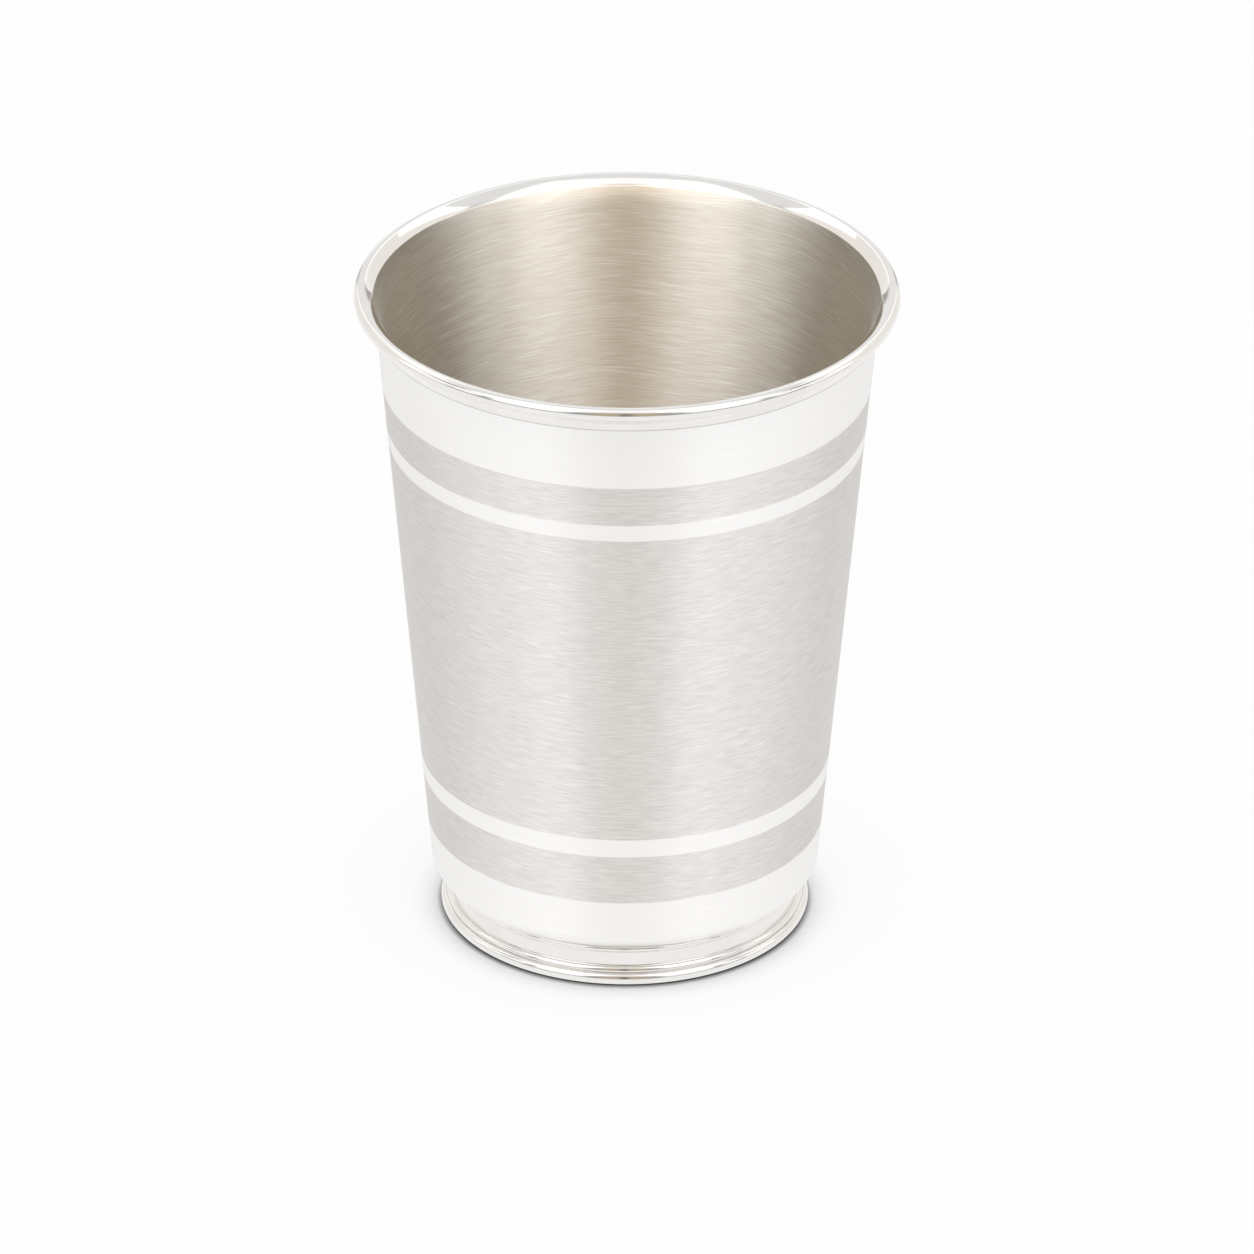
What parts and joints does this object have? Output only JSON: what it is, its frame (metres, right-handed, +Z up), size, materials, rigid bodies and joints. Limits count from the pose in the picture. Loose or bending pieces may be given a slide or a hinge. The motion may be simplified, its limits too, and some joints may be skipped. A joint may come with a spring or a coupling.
{
  "type": "silver tumbler",
  "caption": "Tapered silver drinking tumbler with polished bands on a satin wall, a flared lip with an applied bead, and a reeded foot ring.",
  "frame": {"origin": "centre of the foot ring's lower face, on the surface that the tumbler stands on", "axes": "+Z up along the tumbler's axis, out of the mouth; X and Y are alike, because it is round"},
  "size_m": [0.085, 0.085, 0.1079],
  "materials": {
    "satin_silver": "sterling silver, satin-brushed round the cup, with polished bands left bright",
    "polished_silver": "sterling silver, polished to a mirror",
    "silver_solder": "silver solder, run into the joint and cleaned off flush"
  },
  "bodies": {
    "root": {"cup_wall": "satin_silver", "cup_floor": "satin_silver", "rim_moulding": "polished_silver", "foot_ring": "polished_silver", "rim_solder_seam": "silver_solder", "floor_solder_seam": "silver_solder", "foot_solder_seam": "silver_solder"}
  },
  "joints": []
}
